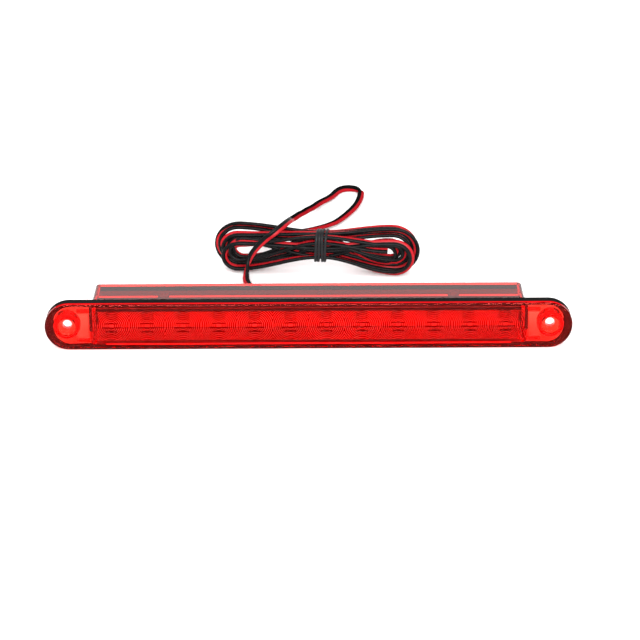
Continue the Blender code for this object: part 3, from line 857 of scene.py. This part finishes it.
def make_cover():
    half_x = BOX_LENGTH / 2 - WALL - COVER_END_GAP
    half_z = BOX_HEIGHT / 2 - WALL + BOND
    front, back = COVER_LOW.y, COVER_HIGH.y
    corner = BOX_CORNER / 2
    here = (0, 0, 0)
    cover = add_object("cover_moulding", prism(round_rect(half_x, half_z, corner, 4), front, back))
    hollow = round_rect(half_x - SKIRT_WALL, half_z - SKIRT_WALL, corner, 4)
    panel = round_rect(half_x - PANEL_INSET, half_z - PANEL_INSET, corner, 6)
    hole = circle(GROMMET_X, MIDDLE, GROMMET_HOLE_R, 40)
    collar = circle(GROMMET_X, MIDDLE, GROMMET_HOLE_R + COLLAR_WIDTH, 48)
    steps = [
        ("DIFFERENCE", prism(hollow, front - MM, back - COVER_THICK), here),
        ("DIFFERENCE", prism(panel, back - PANEL_DEPTH, back + MM), here),
        ("UNION", prism(collar, back - PANEL_DEPTH - COLLAR_SINK, back), here),
        ("DIFFERENCE", prism(hole, front, back + MM), here),
    ]
    for index in (-2, -1, 1, 2):
        mark = circle(index * PIN_MARK_PITCH, MIDDLE, PIN_MARK_R, 32)
        steps.append(("DIFFERENCE", prism(mark, back - PANEL_DEPTH - PIN_MARK_DEPTH, back), here))
    combine(cover, steps)
    cover.data.materials.clear()
    for mat in (BLACK, plain("bonded_black", (0.004, 0.004, 0.004), 0.9, 0.2, 900.0, 0.02, 0.0)):
        cover.data.materials.append(mat)
    for face in cover.data.polygons:
        at_edge = abs(abs(face.center.z - MIDDLE) - half_z) < BOND / 2 and abs(face.normal.z) > 0.9
        face.material_index = 1 if at_edge else 0
    smooth(cover)
    return cover


# ---------------------------------------------------------------- stage
def add_floor():
    bm = bmesh.new()
    bmesh.ops.create_grid(bm, x_segments=1, y_segments=1, size=6.0)
    floor = add_object("floor", finish_mesh(bm))
    tree = Tree("floor_white")
    tree.shader.inputs["Base Color"].default_value = (0.93, 0.93, 0.93, 1.0)
    tree.shader.inputs["Roughness"].default_value = 0.9
    tree.shader.inputs["Specular IOR Level"].default_value = 0.0
    floor.data.materials.append(tree.mat)


def add_light(name, place, aim, size, power):
    data = bpy.data.lights.new(name, "AREA")
    data.shape = "RECTANGLE"
    data.size, data.size_y = size
    data.energy = power
    light = bpy.data.objects.new(name, data)
    bpy.context.collection.objects.link(light)
    light.location = place
    light.rotation_euler = (Vector(aim) - Vector(place)).to_track_quat("-Z", "Y").to_euler()


def add_world():
    world = bpy.data.worlds.new("studio")
    world.use_nodes = True
    nodes, links = world.node_tree.nodes, world.node_tree.links
    place = nodes.new("ShaderNodeTexCoord")
    parts = nodes.new("ShaderNodeSeparateXYZ")
    level = nodes.new("ShaderNodeMapRange")
    for key, value in (("From Min", -0.2), ("From Max", 0.6), ("To Min", 0.12), ("To Max", 1.15)):
        level.inputs[key].default_value = value
    sideways = nodes.new("ShaderNodeMath")
    sideways.operation = "ABSOLUTE"
    total = nodes.new("ShaderNodeMath")
    total.operation = "MULTIPLY_ADD"
    total.inputs[1].default_value = 0.6
    links.new(place.outputs["Generated"], parts.inputs["Vector"])
    links.new(parts.outputs["X"], sideways.inputs[0])
    links.new(sideways.outputs["Value"], total.inputs[0])
    links.new(parts.outputs["Y"], total.inputs[2])
    links.new(total.outputs["Value"], level.inputs["Value"])
    links.new(level.outputs["Result"], nodes["Background"].inputs["Strength"])
    nodes["Background"].inputs["Color"].default_value = (1.0, 1.0, 1.0, 1.0)
    bpy.context.scene.world = world
    bpy.context.scene.view_settings.view_transform = "Standard"


def record_colour(slot):
    for entry in frame["record"]["materials"]:
        if entry["slot"] == slot:
            return tuple(entry["base_color"][:3])
    raise KeyError(slot)


# ---------------------------------------------------------------- making it
lead, lead_path, lead_length = make_lead()
tie = make_tie()
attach(lead, "root")
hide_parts("cord", "cord_hank")
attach(tie, "root")
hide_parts("twist_tie")

lens = make_lens()
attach(lens, "root")
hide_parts("lens_body")


def dress(node, mat):
    obj = frame["nodes"][node]
    obj.data.materials.clear()
    obj.data.materials.append(mat)


FOAM = plain("foam", (0.005, 0.005, 0.005), 0.9, 0.3, 2500.0, 0.5, 0.05)
BLACK = plain("moulded_black", (0.014, 0.014, 0.015), 0.5, 0.15, 1200.0, 0.12, 0.4)
WHITE = plain("solder_mask", (0.9, 0.9, 0.88), 0.35, 0.02, 700.0, 0.03)
EPOXY = plain("led_epoxy", (0.70, 0.67, 0.62), 0.15, 0.03, 700.0, 0.02)
dress("gasket", FOAM)
cover = make_cover()
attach(cover, "root")
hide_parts("rear_cover")
dress("board_support_left", BLACK)
dress("board_support_right", BLACK)
dress("cable_grommet", plain("rubber", (0.02, 0.02, 0.02), 0.7, 0.2, 1500.0, 0.2, 0.3))
dress("circuit_board", WHITE)
for number in range(1, LED_COUNT + 1):
    dress(f"led_{number:02d}", EPOXY)
for number in range(1, 5):
    dress(f"resistor_{number}", plain(f"resistor_lacquer_{number}", record_colour("resistor_body"), 0.3))
dress("diode", plain("diode_epoxy", record_colour("diode_body"), 0.4))
dress("lead_red", pvc("inner_red", (0.50, 0.004, 0.008)))
dress("lead_black", pvc("inner_black", (0.004, 0.004, 0.0045)))

add_floor()
add_world()
add_light("key", (-0.35, -0.55, 1.10), (0, 0.05, 0), (2.0, 2.0), 24.0)
add_light("front", (0.3, -1.4, 0.6), (0, 0.0, 0), (1.6, 0.9), 54.0)
